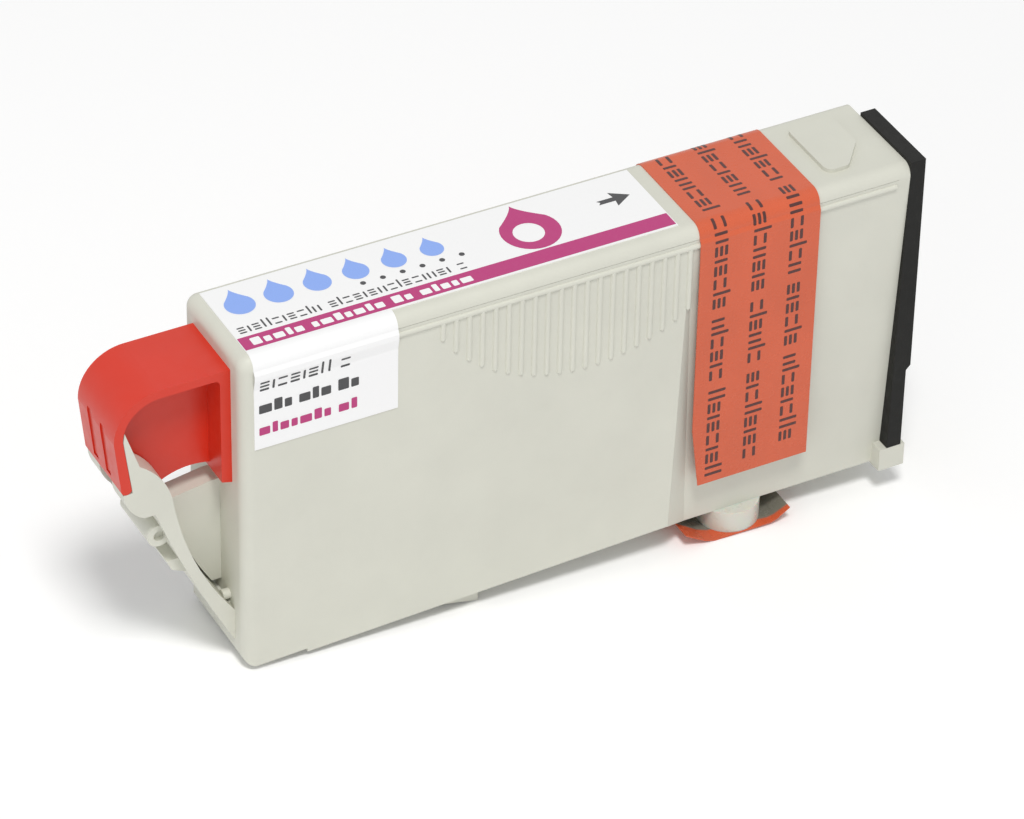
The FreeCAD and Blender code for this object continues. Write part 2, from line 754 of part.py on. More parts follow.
def outlet_collar():
    """Oblong collar pressed over the nozzle, with a lip round its mouth."""
    collar = oblong(outlet_half_x, outlet_half_y, outlet_low_z, outlet_end_z)
    collar = collar.cut(nozzle(0, outlet_low_z + collar_lip_high, outlet_end_z + cut_past))
    return collar.cut(nozzle(nozzle_wall, outlet_low_z - cut_past, outlet_end_z))


def outlet_seal():
    """Soft ring between the collar's lip and the nozzle's end."""
    low = outlet_low_z + collar_lip_high
    ring = nozzle(nozzle_gap, low, low + seal_high)
    return ring.cut(nozzle(nozzle_wall, low - cut_past, low + seal_high + cut_past))


def wick():
    """Felt plug in the nozzle, a little above the collar's mouth."""
    top = outlet_end_z + wall - screen_thick
    return nozzle(nozzle_wall + wick_gap, outlet_low_z + wick_recess, top)


def filter_screen():
    """Thin mesh on top of the wick."""
    top = outlet_end_z + wall
    return nozzle(nozzle_wall + wick_gap, top - screen_thick, top)


def sponge():
    """Foam block that fills the outlet end of the tank."""
    gap = sponge_gap
    hollow = tank_block(cover_thick + lip_high + gap, wall + gap, wall + gap, wall + sponge_air, wall)
    x0 = partition_x + partition_thick + gap
    return hollow.common(block(x0, tank_len, near_y, far_y, outlet_end_z, tank_high))


def vent_membrane():
    """Disc in its seat under the vent hole."""
    return Part.makeCylinder(membrane_radius, membrane_thick,
                             V(vent_x, 0, tank_high - wall + membrane_seat - membrane_thick))


def fill_plug():
    """Headed plug in the filling hole, just under the label."""
    head_low = tank_high - plug_sink
    head = Part.makeCylinder(plug_flange_radius, plug_sink - lip_gap, V(fill_x, 0, head_low))
    stem_low = tank_high - wall - plug_past
    stem = Part.makeCylinder(fill_radius, head_low - stem_low, V(fill_x, 0, stem_low))
    return head.fuse(stem).removeSplitter()


def side_path(low_z, back_to_face):
    """Path of a sheet down the near side: over the bead, then back to the face or straight down."""
    crest_y = near_y - rib_proud
    path = [(near_y, seam_z), (crest_y, bead_z + rib_radius), (crest_y, bead_z - rib_radius)]
    if back_to_face:
        return path + [(near_y, bead_z - flap_settle), (near_y, low_z)]
    return path + [(crest_y, low_z)]


def folded_sheet(path, thick, top_far, x0, length):
    """Sheet that lies on the top, folds over the near edge and follows a path down the side."""
    bend_y = near_y + edge_round
    turn = math.sqrt(0.5)
    inner = [V(x0, y, z) for y, z in path]
    outer = [V(x0, y - thick, z) for y, z in path]
    middle = V(x0, bend_y - edge_round * turn, seam_z + edge_round * turn)
    outside = V(x0, bend_y - (edge_round + thick) * turn, seam_z + (edge_round + thick) * turn)
    edges = [Part.Arc(outer[0], outside, V(x0, bend_y, tank_high + thick)).toShape()]
    edges += Part.makePolygon([V(x0, bend_y, tank_high + thick), V(x0, top_far, tank_high + thick),
                               V(x0, top_far, tank_high), V(x0, bend_y, tank_high)]).Edges
    edges.append(Part.Arc(V(x0, bend_y, tank_high), middle, inner[0]).toShape())
    edges += Part.makePolygon(inner + outer[::-1]).Edges
    return Part.Face(Part.Wire(edges)).extrude(V(length, 0, 0))


def label():
    """Paper label: a long strip on the top with a flap folded down the near side."""
    label_end = label_x + label_len
    strip = block(label_x, label_end, label_near_y, label_far_y, tank_high, tank_high + label_thick)
    path = side_path(flap_low_z, True)
    fold = folded_sheet(path, label_thick, label_far_y, label_x, flap_len)
    return strip.fuse(fold).removeSplitter()


def tail_line(drop):
    """Line of the tape under the outlet: flat below the collar, bent up at both sides."""
    low = outlet_low_z - drop
    left_x = outlet_x - outlet_half_x
    right_x = outlet_x + outlet_half_x
    end = tape_x + tape_wide - tape_right_trim
    line = [(tape_x, low + tape_left_rise)]
    line += [((2 * left_x + tape_x) / 3, low + tape_left_rise * tape_bend_share)]
    line += [(left_x, low), (right_x, low)]
    line += [((2 * right_x + end) / 3, low + tape_right_rise * tape_bend_share)]
    return line + [(end, low + tape_right_rise)]


def pull_tape():
    """Orange tape from the near side over the top, down the far side and under the outlet."""
    join_z = seam_z / 2
    near = folded_sheet(side_path(tape_low_z, False), tape_thick, 0, tape_x, tape_wide)
    far = mirrored(folded_sheet(side_path(join_z, False), tape_thick, 0, tape_x, tape_wide))
    skew_x = tape_x - tape_skew_past
    skew_low = tape_low_z - tape_skew_past
    skew = [(skew_x, tape_low_z + tape_skew_high), (skew_x, skew_low), (tape_x + tape_skew, skew_low)]
    near = near.cut(side_prism(skew, near_y - cut_past, near_y))
    outside_y = far_y + rib_proud
    drop = [(tape_x + tape_wide, join_z + tape_lap), (tape_x, join_z + tape_lap)]
    far_sheet = side_prism(tail_line(tape_thick) + drop, outside_y, outside_y + tape_thick)
    tail = tail_line(0) + tail_line(tape_thick)[::-1]
    tail_sheet = side_prism(tail, near_y, outside_y + tape_thick)
    return near.fuse([far, far_sheet, tail_sheet]).removeSplitter()


def save(name, shape):
    """Moves a piece from the modelling datum to the origin and writes it."""
    shape.translate(V(-origin_x, 0, -lowest_z))
    shape.exportStep("parts/" + name + ".step")


PIECES = {
    "body_shell": body_shell,
    "side_cover": side_cover,
    "handle": handle,
    "rear_plate": rear_plate,
    "chip_board": chip_board,
    "contact_pads": contact_pads,
    "memory_chip": memory_chip,
    "outlet_collar": outlet_collar,
    "outlet_seal": outlet_seal,
    "wick": wick,
    "filter_screen": filter_screen,
    "sponge": sponge,
    "vent_membrane": vent_membrane,
    "fill_plug": fill_plug,
    "label": label,
    "pull_tape": pull_tape,
}

os.makedirs("parts", exist_ok=True)
for piece_name, build in PIECES.items():
    save(piece_name, build())
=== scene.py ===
import math

import bmesh
import bpy
from mathutils import Matrix, Vector


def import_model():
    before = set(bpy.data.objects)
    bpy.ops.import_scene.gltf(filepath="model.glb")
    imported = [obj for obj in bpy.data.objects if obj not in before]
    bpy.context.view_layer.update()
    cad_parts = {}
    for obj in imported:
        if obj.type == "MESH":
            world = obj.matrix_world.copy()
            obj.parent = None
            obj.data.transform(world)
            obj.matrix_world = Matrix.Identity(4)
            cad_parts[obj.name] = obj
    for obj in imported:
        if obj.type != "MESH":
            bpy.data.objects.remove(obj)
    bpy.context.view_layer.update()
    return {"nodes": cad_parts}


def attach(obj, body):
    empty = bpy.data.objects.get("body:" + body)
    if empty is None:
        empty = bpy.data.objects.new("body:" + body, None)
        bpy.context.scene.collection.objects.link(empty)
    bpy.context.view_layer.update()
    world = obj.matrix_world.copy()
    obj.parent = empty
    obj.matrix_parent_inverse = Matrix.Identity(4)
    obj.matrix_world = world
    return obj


# Looks of the ink cartridge. Lengths are in millimetres up to the point where a mesh is made.
MM = 0.001

# Tank in the part's frame: its latch end, near side, top, and the level that heights are counted from
LATCH_X = -31.8
NEAR_Y = -6.6
TANK_TOP = 40.57
DATUM_Z = 3.57
EDGE_ROUND = 1.3

# Level inside the tank that print faces away from
INSIDE_Z = 20

# Bead under the seam, which the sheets are bent over
BEAD_DROP = 0.75
BEAD_PROUD = 0.24
BEAD_R = 0.3
SEAM_Z = TANK_TOP - EDGE_ROUND
BEAD_Z = SEAM_Z - BEAD_DROP

# Label: thickness, low edge and far edge, and how far below the bead it lies flat again
LABEL_THICK = 0.1
LABEL_LOW_Z = 29.87
LABEL_FAR_Y = 5.4
LABEL_SETTLE = 1.5

# Tape: thickness, and the levels down to which print may lie on its near and its far side
TAPE_THICK = 0.12
TAPE_LOW_Z = 8.37
TAPE_FAR_LOW_Z = 3.0

# Print: its height over the sheet, that of white over the stripe, and how near an edge no fold cuts it
PRINT_LIFT = 0.012
WHITE_LIFT = 0.01
FOLD_LEAST = 1e-4

# Rows of marks: widths, tall ones and kinds in turn, share of low ones, gap after a group, roundings
RHYTHM = (0.92, 0.66, 1.0, 0.5, 0.8, 0.58, 1.1, 0.7, 0.62, 0.96, 0.54, 0.84)
TALL = (1, 0, 0, 1, 0, 0, 0, 1, 0, 0, 1, 0)
KINDS = (1, 3, 0, 2, 3, 0, 3, 1, 2, 0, 3, 2, 0)
LOW_SHARE = 0.74
WORD_GAPS = 2.2
MARK_ROUND = 0.1
BLOCK_ROUND = 0.12

# Ink drops: angle of the round part's ends, their height in radii, hollow and steps of the sides above
DROP_DEG = 35
DROP_SHOULDER = 0.5736
DROP_HOLLOW = 1.35
DROP_STEPS = 8

# Layout on the label's top: x is counted from the latch end, y from the near side
STRIPE_X = (1.35, 48.2)
STRIPE_Y = (1.65, 3.7)
STRIPE_ROUND = 0.05
LARGE_X = 34.8
LARGE_Y = 7.0
LARGE_R = 3.1
LARGE_TIP = 4.6
HOLE_X = 34.5
HOLE_Y = 6.8
HOLE_R = 1.6
SMALL_COUNT = 6
SMALL_X = 4.0
SMALL_Y = 8.6
SMALL_PITCH = 4.15
SMALL_R = 1.55
SMALL_R_STEP = 0.07
SMALL_TIP_SHARE = 1.75
DOT_COUNT = 6
DOT_X = 16.2
DOT_Y = 6.5
DOT_PITCH = 2.15
DOT_R = 0.3
ARROW_Y = 8.1
ARROW_HALF = [(46.5, 0.0), (44.6, 1.2), (44.75, 0.32), (42.9, 0.32), (43.2, 0.0)]

# Rows on the tape: their middles from the latch end, their width, and where each one starts
TAPE_ROWS = (52.6, 57.0, 61.2)
TAPE_ROW_WIDE = 2.0
TAPE_ROW_START = 0.9
TAPE_ROW_SHIFT = 0.8
TAPE_END_GAP = 1.0

# Film under the outlet: painted shade covers its upward faces beyond the line y = slope times x plus this
SHADE_LINE_SLOPE = -0.14
SHADE_LINE_Y = -1.8

# Lowest points of the foot and of the taped outlet, (x, z)
FOOT_LOW = (-5.3, 1.156)
OUTLET_LOW = (21.7, 0.0)

# Floor: its tone to the camera, its gap under the cartridge, half its side in metres, and its grid
FLOOR_SEEN = 1.07
FLOOR_GAP = 0.02
FLOOR_HALF = 1.5
FLOOR_GRID = 8

# Photograph's view: lens and sensor, the camera's place in metres, the way it looks, and its roll
CAMERA_LENS = 190.67
CAMERA_SENSOR = 36.0
CAMERA_AT = (-0.20509, -0.38033, 0.34945)
CAMERA_AHEAD = (0.37902, 0.69901, -0.60640)
CAMERA_ROLL_DEG = 1.185

# Place that the lamps are aimed at, in metres
LAMPS_AIM = (0, 0, 0.02)

# Sockets of the Mix node in its colour mode: first and second colour, and result
MIX_A = 6
MIX_B = 7
MIX_RESULT = 2


def srgb(r, g, b):
    """Linear colour from 0 to 255 values as read off a screen."""
    out = []
    for v in (r, g, b):
        v = v / 255.0
        out.append(v / 12.92 if v <= 0.04045 else ((v + 0.055) / 1.055) ** 2.4)
    return (*out, 1.0)


def shade(colour, k):
    """The colour made lighter or darker by a factor."""
    return (*(min(v * k, 1) for v in colour[:3]), 1)


# Materials

class Look:
    """A Principled material with millimetre object coordinates and a few helpers."""

    def __init__(self, name):
        self.mat = bpy.data.materials.new(name)
        self.mat.use_nodes = True
        self.tree = self.mat.node_tree
        self.bsdf = self.tree.nodes["Principled BSDF"]
        coord = self.tree.nodes.new("ShaderNodeTexCoord")
        scale = self.tree.nodes.new("ShaderNodeMapping")
        scale.inputs["Scale"].default_value = (1 / MM, 1 / MM, 1 / MM)
        self.link(coord.outputs["Object"], scale.inputs["Vector"])
        self.mm = scale.outputs["Vector"]
        self.normal = None

    def link(self, a, b):
        self.tree.links.new(a, b)

    def set(self, **values):
        """Sets inputs of the shader, in whose names an underscore stands for a space."""
        for key, value in values.items():
            self.bsdf.inputs[key.replace("_", " ")].default_value = value

    def stretched(self, x, y, z):
        """Coordinates in millimetres, scaled along each axis."""
        node = self.tree.nodes.new("ShaderNodeMapping")
        node.inputs["Scale"].default_value = (x, y, z)
        self.link(self.mm, node.inputs["Vector"])
        return node.outputs["Vector"]

    def split(self, vector):
        """Outputs X, Y and Z of a vector."""
        node = self.tree.nodes.new("ShaderNodeSeparateXYZ")
        self.link(vector, node.inputs["Vector"])
        return node.outputs

    def noise(self, scale, detail=3.0, rough=0.5, vector=None):
        node = self.tree.nodes.new("ShaderNodeTexNoise")
        node.inputs["Scale"].default_value = scale
        node.inputs["Detail"].default_value = detail
        node.inputs["Roughness"].default_value = rough
        self.link(vector or self.mm, node.inputs["Vector"])
        return node.outputs["Fac"]

    def spread(self, value, low, high, start=0.3, end=0.7):
        """Maps start to end onto low to high, and holds both ends."""
        node = self.tree.nodes.new("ShaderNodeMapRange")
        node.inputs["From Min"].default_value = start
        node.inputs["From Max"].default_value = end
        node.inputs["To Min"].default_value = low
        node.inputs["To Max"].default_value = high
        self.link(value, node.inputs["Value"])
        return node.outputs["Result"]

    def calc(self, kind, *sources):
        """Math node whose sources are sockets or plain numbers."""
        node = self.tree.nodes.new("ShaderNodeMath")
        node.operation = kind
        for socket, source in zip(node.inputs, sources):
            if isinstance(source, (int, float)):
                socket.default_value = source
            else:
                self.link(source, socket)
        return node.outputs[0]

    def tones(self, value, first, second, start=0.3, end=0.7):
        """Goes from one colour to another between two places on a texture."""
        node = self.tree.nodes.new("ShaderNodeValToRGB")
        for element, place, colour in zip(node.color_ramp.elements, (start, end), (first, second)):
            element.position = place
            element.color = colour
        self.link(value, node.inputs["Fac"])
        return node.outputs["Color"]

    def base(self, socket):
        self.link(socket, self.bsdf.inputs["Base Color"])

    def mottle(self, value, colour, dark, light, start=0.3, end=0.7):
        """Base colour that varies between two shades of one colour."""
        self.base(self.tones(value, shade(colour, dark), shade(colour, light), start, end))

    def roughness(self, value, low, high):
        self.link(self.spread(value, low, high), self.bsdf.inputs["Roughness"])

    def bump(self, height, distance, strength):
        """Bump with its distance in millimetres, on top of those before it."""
        node = self.tree.nodes.new("ShaderNodeBump")
        node.inputs["Strength"].default_value = strength
        node.inputs["Distance"].default_value = distance * MM
        self.link(height, node.inputs["Height"])
        if self.normal:
            self.link(self.normal, node.inputs["Normal"])
        self.normal = node.outputs["Normal"]
        self.link(self.normal, self.bsdf.inputs["Normal"])


def moulded(name, colour, rough, grain=0.012, vary=0.03, sheen=0.4):
    """Moulded plastic: slow tone changes, a fine grain and a faint flow unevenness."""
    look = Look(name)
    look.mottle(look.noise(scale=0.11, detail=4, rough=0.55), colour, dark=1 - vary, light=1 + vary)
    look.roughness(look.noise(scale=0.9, detail=5, rough=0.6), low=rough - 0.05, high=rough + 0.06)
    look.bump(look.noise(scale=0.22, detail=2), distance=0.05, strength=0.35)
    look.bump(look.noise(scale=5.5, detail=4, rough=0.65), distance=grain, strength=0.8)
    look.set(Specular_IOR_Level=sheen)
    return look


def shell_look(name):
    return moulded(name, srgb(212, 212, 200), rough=0.47)


def handle_look(name):
    return moulded(name, srgb(210, 46, 20), rough=0.36, grain=0.006, vary=0.035, sheen=0.5)


def plate_look(name):
    return moulded(name, srgb(27, 27, 25), rough=0.55, grain=0.02, vary=0.12, sheen=0.2)


def collar_look(name):
    """Milky plastic that lets a little light through."""
    look = moulded(name, srgb(210, 211, 201), rough=0.3, grain=0.004, vary=0.015, sheen=0.5)
    look.set(Subsurface_Weight=0.35, Subsurface_Scale=0.0012)
    return look


def paper_look(name, colour, rough):
    """Coated paper: fibres that run along x, and slow waves."""
    look = Look(name)
    fibre = look.noise(scale=7.0, detail=5, rough=0.7, vector=look.stretched(1.0, 2.2, 2.2))
    look.mottle(fibre, colour, dark=0.975, light=1.01, start=0.25, end=0.75)
    look.roughness(look.noise(scale=3.0, detail=4, rough=0.6), low=rough - 0.06, high=rough + 0.06)
    look.bump(fibre, distance=0.006, strength=0.7)
    look.bump(look.noise(scale=0.3, detail=2), distance=0.06, strength=0.4)
    return look


def ink_look(name, colour, rough=0.42):
    """Printed ink, a little uneven with the paper's fibres."""
    look = Look(name)
    fibre = look.noise(scale=6.0, detail=4, rough=0.6)
    look.mottle(fibre, colour, dark=0.96, light=1.04, start=0.2, end=0.8)
    look.roughness(look.noise(scale=2.0, rough=0.6), low=rough - 0.05, high=rough + 0.05)
    look.bump(fibre, distance=0.004, strength=0.6)
    return look


def tape_look(name):
    """Orange film, with painted shade: its upward faces under the tank turn a dull grey beyond a slanted
    line.
    """
    look = Look(name)
    colour = srgb(210, 93, 56)
    slow = look.noise(scale=0.16, detail=4, rough=0.6, vector=look.stretched(1.0, 0.6, 0.6))
    film_tone = look.tones(slow, shade(colour, 0.93), shade(colour, 1.05), start=0.28, end=0.72)
    # Painted shade: dull grey for the film's upward faces where the tank shades them
    painted_shade_tone = look.tones(slow, srgb(116, 114, 103), srgb(128, 126, 115))
    place = look.split(look.mm)
    shade_line = look.calc("MULTIPLY_ADD", place["X"], SHADE_LINE_SLOPE, SHADE_LINE_Y)
    behind = look.spread(look.calc("SUBTRACT", place["Y"], shade_line), low=0.0, high=1.0, start=-0.1, end=0.15)
    under = look.spread(place["Z"], low=1.0, high=0.0, start=2.2, end=2.6)
    geometry = look.tree.nodes.new("ShaderNodeNewGeometry")
    up = look.spread(look.split(geometry.outputs["Normal"])["Z"], low=0.0, high=1.0, start=0.2, end=0.4)
    shade_mix = look.tree.nodes.new("ShaderNodeMix")
    shade_mix.data_type = "RGBA"
    look.link(look.calc("MULTIPLY", look.calc("MULTIPLY", behind, under), up), shade_mix.inputs["Factor"])
    look.link(film_tone, shade_mix.inputs[MIX_A])
    look.link(painted_shade_tone, shade_mix.inputs[MIX_B])
    look.base(shade_mix.outputs[MIX_RESULT])
    look.roughness(look.noise(scale=0.8, detail=4, rough=0.6), low=0.2, high=0.32)
    waves = look.noise(scale=0.35, vector=look.stretched(1.0, 0.35, 0.35))
    look.bump(waves, distance=0.1, strength=0.5)
    look.bump(look.noise(scale=4.0, rough=0.6), distance=0.006, strength=0.6)
    look.set(Specular_IOR_Level=0.5)
    return look


def foam_look(name, colour):
    """Open cells, with painted shade darkening their hollows."""
    look = Look(name)
    cells = look.tree.nodes.new("ShaderNodeTexVoronoi")
    cells.inputs["Scale"].default_value = 2.6
    look.link(look.mm, cells.inputs["Vector"])
    # Painted shade: the cells' hollows are darker
    look.mottle(cells.outputs["Distance"], colour, dark=0.55, light=1.0, start=0.1, end=0.6)
    look.roughness(look.noise(scale=1.0), low=0.8, high=0.95)
    look.bump(cells.outputs["Distance"], distance=0.2, strength=0.9)
    return look


def board_look(name):
    look = Look(name)
    look.mottle(look.noise(scale=1.2, detail=4), srgb(38, 104, 70), dark=0.85, light=1.1)
    look.roughness(look.noise(scale=2.0), low=0.3, high=0.42)
    look.bump(look.noise(scale=9.0, detail=2), distance=0.004, strength=0.6)
    return look


def metal_look(name, colour, rough):
    look = Look(name)
    look.mottle(look.noise(scale=1.5, detail=4), colour, dark=0.93, light=1.04)
    brushed = look.noise(scale=3.0, detail=4, rough=0.6, vector=look.stretched(1, 1, 6))
    look.roughness(brushed, low=rough - 0.06, high=rough + 0.08)
    look.bump(look.noise(scale=8.0), distance=0.003, strength=0.6)
    look.set(Metallic=1.0)
    return look


LOOKS = {
    "body_shell": shell_look("shell_plastic_look"),
    "side_cover": shell_look("cover_plastic_look"),
    "handle": handle_look("handle_plastic_look"),
    "rear_plate": plate_look("plate_plastic_look"),
    "chip_board": board_look("board_look"),
    "contact_pads": metal_look("pad_gold_look", srgb(226, 188, 104), rough=0.28),
    "memory_chip": moulded("potting_look", srgb(30, 30, 32), rough=0.3, grain=0.004, vary=0.08),
    "sponge": foam_look("foam_look", srgb(214, 120, 178)),
    "wick": foam_look("felt_look", srgb(190, 92, 150)),
    "filter_screen": metal_look("screen_look", srgb(190, 190, 188), rough=0.4),
    "outlet_collar": collar_look("collar_look"),
    "outlet_seal": moulded("seal_rubber_look", srgb(88, 88, 86), rough=0.6, vary=0.05),
    "vent_membrane": paper_look("membrane_look", srgb(238, 238, 236), rough=0.6),
    "fill_plug": moulded("plug_rubber_look", srgb(186, 186, 180), rough=0.6),
    "label": paper_look("label_paper_look", srgb(246, 246, 246), rough=0.42),
    "pull_tape": tape_look("tape_film_look"),
}


# Print: flat outlines in (x, distance along the sheet), laid on the sheet's outer face

def corner(cx, cy, radius, start, end, steps=8):
    """Arc points between two angles in degrees."""
    points = []
    for i in range(steps + 1):
        a = math.radians(start + (end - start) * i / steps)
        points.append((cx + radius * math.cos(a), cy + radius * math.sin(a)))
    return points


def label_path():
    """Outer face of the label in (y, z), from the flap's low edge to its far edge on the top."""
    t = LABEL_THICK
    face = NEAR_Y - t
    crest = NEAR_Y - BEAD_PROUD - t
    path = [(face, LABEL_LOW_Z), (face, BEAD_Z - LABEL_SETTLE)]
    path += [(crest, BEAD_Z - BEAD_R), (crest, BEAD_Z + BEAD_R)]
    path += corner(NEAR_Y + EDGE_ROUND, SEAM_Z, EDGE_ROUND + t, 180, 90)
    return path + [(LABEL_FAR_Y, TANK_TOP + t)]


def tape_path():
    """Outer face of the tape in (y, z), from its low end on the near side over the top to the far side."""
    t = TAPE_THICK
    crest = NEAR_Y - BEAD_PROUD - t
    path = [(crest, TAPE_LOW_Z), (crest, BEAD_Z + BEAD_R)]
    path += corner(NEAR_Y + EDGE_ROUND, SEAM_Z, EDGE_ROUND + t, 180, 90)
    path += corner(-NEAR_Y - EDGE_ROUND, SEAM_Z, EDGE_ROUND + t, 90, 0)
    return path + [(-crest, BEAD_Z + BEAD_R), (-crest, TAPE_FAR_LOW_Z)]


class Sheet:
    """Maps (x, distance) onto a sheet's outer face."""

    def __init__(self, path):
        self.path = path
        self.at = [0.0]
        for a, b in zip(path, path[1:]):
            self.at.append(self.at[-1] + math.dist(a, b))

    def place(self, x, s):
        s = min(max(s, 0.0), self.at[-1])
        i = 0
        while i < len(self.at) - 2 and s > self.at[i + 1]:
            i += 1
        a, b = self.path[i], self.path[i + 1]
        run = self.at[i + 1] - self.at[i]
        k = (s - self.at[i]) / run
        normal = (-(b[1] - a[1]) / run, (b[0] - a[0]) / run)
        y = a[0] + (b[0] - a[0]) * k + normal[0] * PRINT_LIFT
        z = a[1] + (b[1] - a[1]) * k + normal[1] * PRINT_LIFT
        return Vector((x * MM, y * MM, z * MM))


def rounded_bar(x0, x1, s0, s1, r):
    """Outline of a rounded rectangle."""
    r = min(r, (x1 - x0) / 2, (s1 - s0) / 2)
    centres = [(x1 - r, s1 - r), (x0 + r, s1 - r), (x0 + r, s0 + r), (x1 - r, s0 + r)]
    points = []
    for quarter, (cx, cs) in enumerate(centres):
        points += corner(cx, cs, r, 90 * quarter, 90 * quarter + 90, steps=3)
    return points


def disc(cx, cs, r, steps=28):
    return corner(cx, cs, r, 0, 360 - 360 / steps, steps - 1)


def drop(cx, cs, r, tip):
    """Outline of an ink drop whose tip points up the sheet."""
    points = corner(cx, cs, r, 180 - DROP_DEG, 360 + DROP_DEG, steps=26)
    wide = r * math.cos(math.radians(DROP_DEG))
    low = r * DROP_SHOULDER
    side = []
    for i in range(1, DROP_STEPS):
        k = i / DROP_STEPS
        side.append((wide * (1 - k) ** DROP_HOLLOW, cs + low + (tip - low) * k))
    points += [(cx + a, s) for a, s in side]
    points.append((cx, cs + tip))
    return points + [(cx - a, s) for a, s in reversed(side)]


def flat_mesh(outline, holes, folds):
    """Filled flat mesh of one shape, cut through where the sheet folds."""
    bm = bmesh.new()
    edges = []
    for ring in [outline] + holes:
        verts = [bm.verts.new((x, s, 0)) for x, s in ring]
        edges += [bm.edges.new((verts[i], verts[(i + 1) % len(verts)])) for i in range(len(verts))]
    bmesh.ops.triangle_fill(bm, edges=edges, use_beauty=True, normal=(0, 0, 1))
    low = min(v.co.y for v in bm.verts)
    high = max(v.co.y for v in bm.verts)
    for s in folds:
        if low + FOLD_LEAST < s < high - FOLD_LEAST:
            parts = bm.verts[:] + bm.edges[:] + bm.faces[:]
            bmesh.ops.bisect_plane(bm, geom=parts, plane_co=(0, s, 0), plane_no=(0, 1, 0))
    mesh = bpy.data.meshes.new("flat")
    bm.to_mesh(mesh)
    bm.free()
    return mesh


def print_piece(name, sheet, shapes, look):
    """One mesh of flat shapes laid on a sheet; a shape is (outline, [hole outlines])."""
    joined = bmesh.new()
    for outline, holes in shapes:
        flat = flat_mesh(outline, holes, sheet.at)
        joined.from_mesh(flat)
        bpy.data.meshes.remove(flat)
    for v in joined.verts:
        v.co = sheet.place(v.co.x, v.co.y)
    for face in joined.faces:
        face.normal_update()
    bmesh.ops.recalc_face_normals(joined, faces=joined.faces)
    middle = Vector((0, 0, INSIDE_Z * MM))
    for face in joined.faces:
        if face.normal.dot(face.calc_center_median() - middle) < 0:
            face.normal_flip()
    mesh = bpy.data.meshes.new(name)
    joined.to_mesh(mesh)
    joined.free()
    piece = bpy.data.objects.new(name, mesh)
    bpy.context.scene.collection.objects.link(piece)
    mesh.materials.append(look.mat)
    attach(piece, "root")
    return piece


def mark(kind, x, w, s0, h, stroke):
    """Small generic mark drawn with a stroke: one or two upright bars, or two or three dashes."""
    if kind < 2:
        places = (x, x + w - stroke)[:kind + 1]
        return [(rounded_bar(a, a + stroke, s0, s0 + h, MARK_ROUND), []) for a in places]
    step = (h - stroke) / (kind - 1)
    levels = [s0 + i * step for i in range(kind)]
    return [(rounded_bar(x, x + w, a, a + stroke, MARK_ROUND), []) for a in levels]


def blocks(x0, x1, s0, height, gap, words, size, shift=0, stroke=None):
    """Row of small marks between x0 and x1, in groups, as a stand-in for a line of print.

    Without a stroke the marks are plain blocks.
    """
    out = []
    x = x0
    n = shift
    left = words[0]
    word = 0
    while x < x1:
        w = RHYTHM[n % len(RHYTHM)] * size
        if x + w > x1:
            break
        tall = height * (1.0 if TALL[n % len(TALL)] else LOW_SHARE)
        if stroke:
            kind = KINDS[n % len(KINDS)]
            w = size if kind else stroke
            out += mark(kind, x, w, s0, tall if kind < 2 else height * LOW_SHARE, stroke)
        else:
            out.append((rounded_bar(x, x + w, s0, s0 + tall, BLOCK_ROUND), []))
        x += w + gap
        n += 1
        left -= 1
        if left == 0:
            x += gap * WORD_GAPS
            word = (word + 1) % len(words)
            left = words[word]
    return out


label = Sheet(label_path())
FOLD_S = label.at[-1] - (LABEL_FAR_Y - (NEAR_Y + EDGE_ROUND))


def top_s(y):
    """Distance along the label for a place on the top, y counted from the near side."""
    return FOLD_S + (y - EDGE_ROUND)


def flap_s(z):
    """Distance along the label for a level on the flap, counted from the tank's datum."""
    return z + DATUM_Z - LABEL_LOW_Z


def label_row(start, end, low, **values):
    """Row of marks on the label, whose start and end are counted from the latch end."""
    return blocks(LATCH_X + start, LATCH_X + end, low, **values)


def magenta_shapes():
    """Stripe along the near edge, large drop with a hole, and the flap's lowest row."""
    x = LATCH_X
    stripe = rounded_bar(x + STRIPE_X[0], x + STRIPE_X[1], top_s(STRIPE_Y[0]), top_s(STRIPE_Y[1]),
                         STRIPE_ROUND)
    large = drop(x + LARGE_X, top_s(LARGE_Y), LARGE_R, LARGE_TIP)
    hole = disc(x + HOLE_X, top_s(HOLE_Y), HOLE_R)
    row = label_row(start=1.8, end=12.6, low=flap_s(27.9), height=1.25, gap=0.26, words=(7,),
                    size=1.15, shift=2)
    return [(stripe, []), (large, [hole])] + row


def small_drops():
    """Row of drops that get smaller along the label."""
    shapes = []
    for i in range(SMALL_COUNT):
        r = SMALL_R - SMALL_R_STEP * i
        x = LATCH_X + SMALL_X + i * SMALL_PITCH
        shapes.append((drop(x, top_s(SMALL_Y), r, r * SMALL_TIP_SHARE), []))
    return shapes


def dark_shapes():
    """Rows of marks on the top and the flap, a row of dots, and the arrow."""
    x = LATCH_X
    shapes = label_row(start=2.0, end=27.2, low=top_s(4.25), height=1.35, gap=0.3, words=(10, 15),
                       size=0.78, shift=4, stroke=0.2)
    for i in range(DOT_COUNT):
        shapes.append((disc(x + DOT_X + i * DOT_PITCH, top_s(DOT_Y), DOT_R, steps=14), []))
    shapes += label_row(start=1.9, end=11.9, low=flap_s(33.2), height=1.6, gap=0.34, words=(7, 2),
                        size=1.0, shift=1, stroke=0.24)
    shapes += label_row(start=1.8, end=13.7, low=flap_s(30.5), height=1.35, gap=0.24, words=(3, 3, 2),
                        size=1.25, shift=6)
    arrow = ARROW_HALF + [(a, -b) for a, b in ARROW_HALF[-2:0:-1]]
    shapes.append(([(x + a, top_s(ARROW_Y + b)) for a, b in arrow], []))
    return shapes


